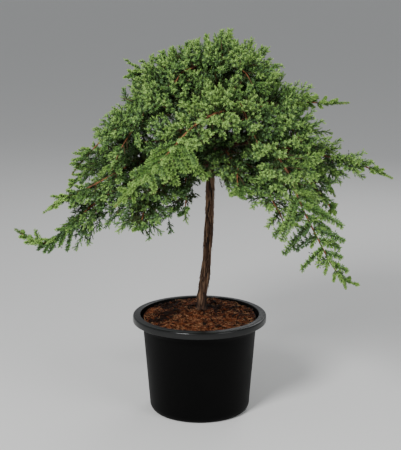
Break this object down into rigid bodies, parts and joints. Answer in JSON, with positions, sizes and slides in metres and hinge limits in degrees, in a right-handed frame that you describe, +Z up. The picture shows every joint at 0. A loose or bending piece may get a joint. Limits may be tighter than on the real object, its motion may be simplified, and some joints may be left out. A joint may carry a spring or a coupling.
{
  "type": "potted dwarf japanese garden juniper",
  "caption": "Small weeping juniper on a clear leaning stem, in a round nursery pot of bark mix; dense needle-leaved dome with long trailing shoots.",
  "frame": {"origin": "middle of the flat underside of the pot", "axes": "+Z up along the pot's axis, +X to the right and -Y to the front as the picture sees the plant"},
  "size_m": [0.731, 0.6008, 0.7472],
  "materials": {
    "pot": "satin black moulded plastic",
    "soil": "damp shredded bark and fibre",
    "bark": "flaking brown bark",
    "foliage": "green needles"
  },
  "bodies": {
    "root": {"bough_back_left_low": "bark", "bough_back_left_mid": "bark", "bough_back_mid": "bark", "bough_back_right_inner": "bark", "bough_back_right_low": "bark", "bough_back_right_mid": "bark", "bough_back_trailing": "bark", "bough_front_left_inner": "bark", "bough_front_left_low": "bark", "bough_front_left_mid": "bark", "bough_front_long": "bark", "bough_front_mid": "bark", "bough_front_right_hanging": "bark", "bough_front_right_inner": "bark", "bough_front_right_low": "bark", "bough_front_right_mid": "bark", "bough_left_back_long": "bark", "bough_left_long": "bark", "bough_left_mid": "bark", "bough_left_trailing": "bark", "bough_right_back_mid": "bark", "bough_right_front_mid": "bark", "bough_right_high": "bark", "bough_right_long": "bark", "bough_right_low": "bark", "foliage_back_left_low": "foliage", "foliage_back_left_mid": "foliage", "foliage_back_mid": "foliage", "foliage_back_right_inner": "foliage", "foliage_back_right_low": "foliage", "foliage_back_right_mid": "foliage", "foliage_back_trailing": "foliage", "foliage_crown_back_left": "foliage", "foliage_crown_back_right": "foliage", "foliage_crown_front_left": "foliage", "foliage_crown_front_right": "foliage", "foliage_crown_left": "foliage", "foliage_crown_right": "foliage", "foliage_crown_top": "foliage", "foliage_front_left_inner": "foliage", "foliage_front_left_low": "foliage", "foliage_front_left_mid": "foliage", "foliage_front_long": "foliage", "foliage_front_mid": "foliage", "foliage_front_right_hanging": "foliage", "foliage_front_right_inner": "foliage", "foliage_front_right_low": "foliage", "foliage_front_right_mid": "foliage", "foliage_left_back_long": "foliage", "foliage_left_long": "foliage", "foliage_left_mid": "foliage", "foliage_left_trailing": "foliage", "foliage_right_back_mid": "foliage", "foliage_right_front_mid": "foliage", "foliage_right_high": "foliage", "foliage_right_long": "foliage", "foliage_right_low": "foliage", "pot": "pot", "soil": "soil", "trunk": "bark"}
  },
  "joints": []
}
